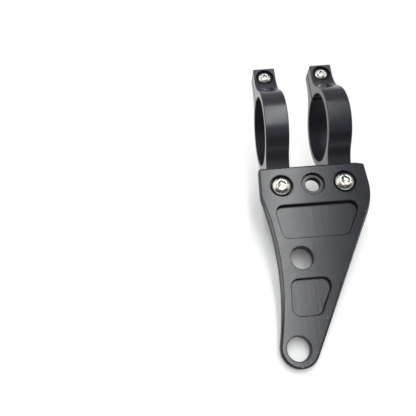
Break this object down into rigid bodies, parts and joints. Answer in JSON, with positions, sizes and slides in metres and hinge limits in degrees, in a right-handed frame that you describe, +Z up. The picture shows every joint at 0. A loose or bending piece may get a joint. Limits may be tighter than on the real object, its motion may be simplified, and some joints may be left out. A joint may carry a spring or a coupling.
{
  "type": "headlight mounting bracket",
  "caption": "Flat pocketed plate with lamp bolt holes, screwed to split clamps that pinch round a motorbike fork tube and carry one side of a headlight.",
  "frame": {"origin": "on the axis of the fork tube, midway between the clamps", "axes": "+X along the fork tube, +Y from the lamp end towards the pinch lugs, +Z up from the bench that the bracket lies on"},
  "size_m": [0.0552, 0.1596, 0.0436],
  "materials": {
    "black_anodised": "black satin anodised",
    "stainless_screws": "polished"
  },
  "bodies": {
    "root": {"mounting_plate": "black_anodised", "left_fork_clamp": "black_anodised", "right_fork_clamp": "black_anodised", "plate_screws": "stainless_screws", "pinch_screws": "stainless_screws"}
  },
  "joints": []
}
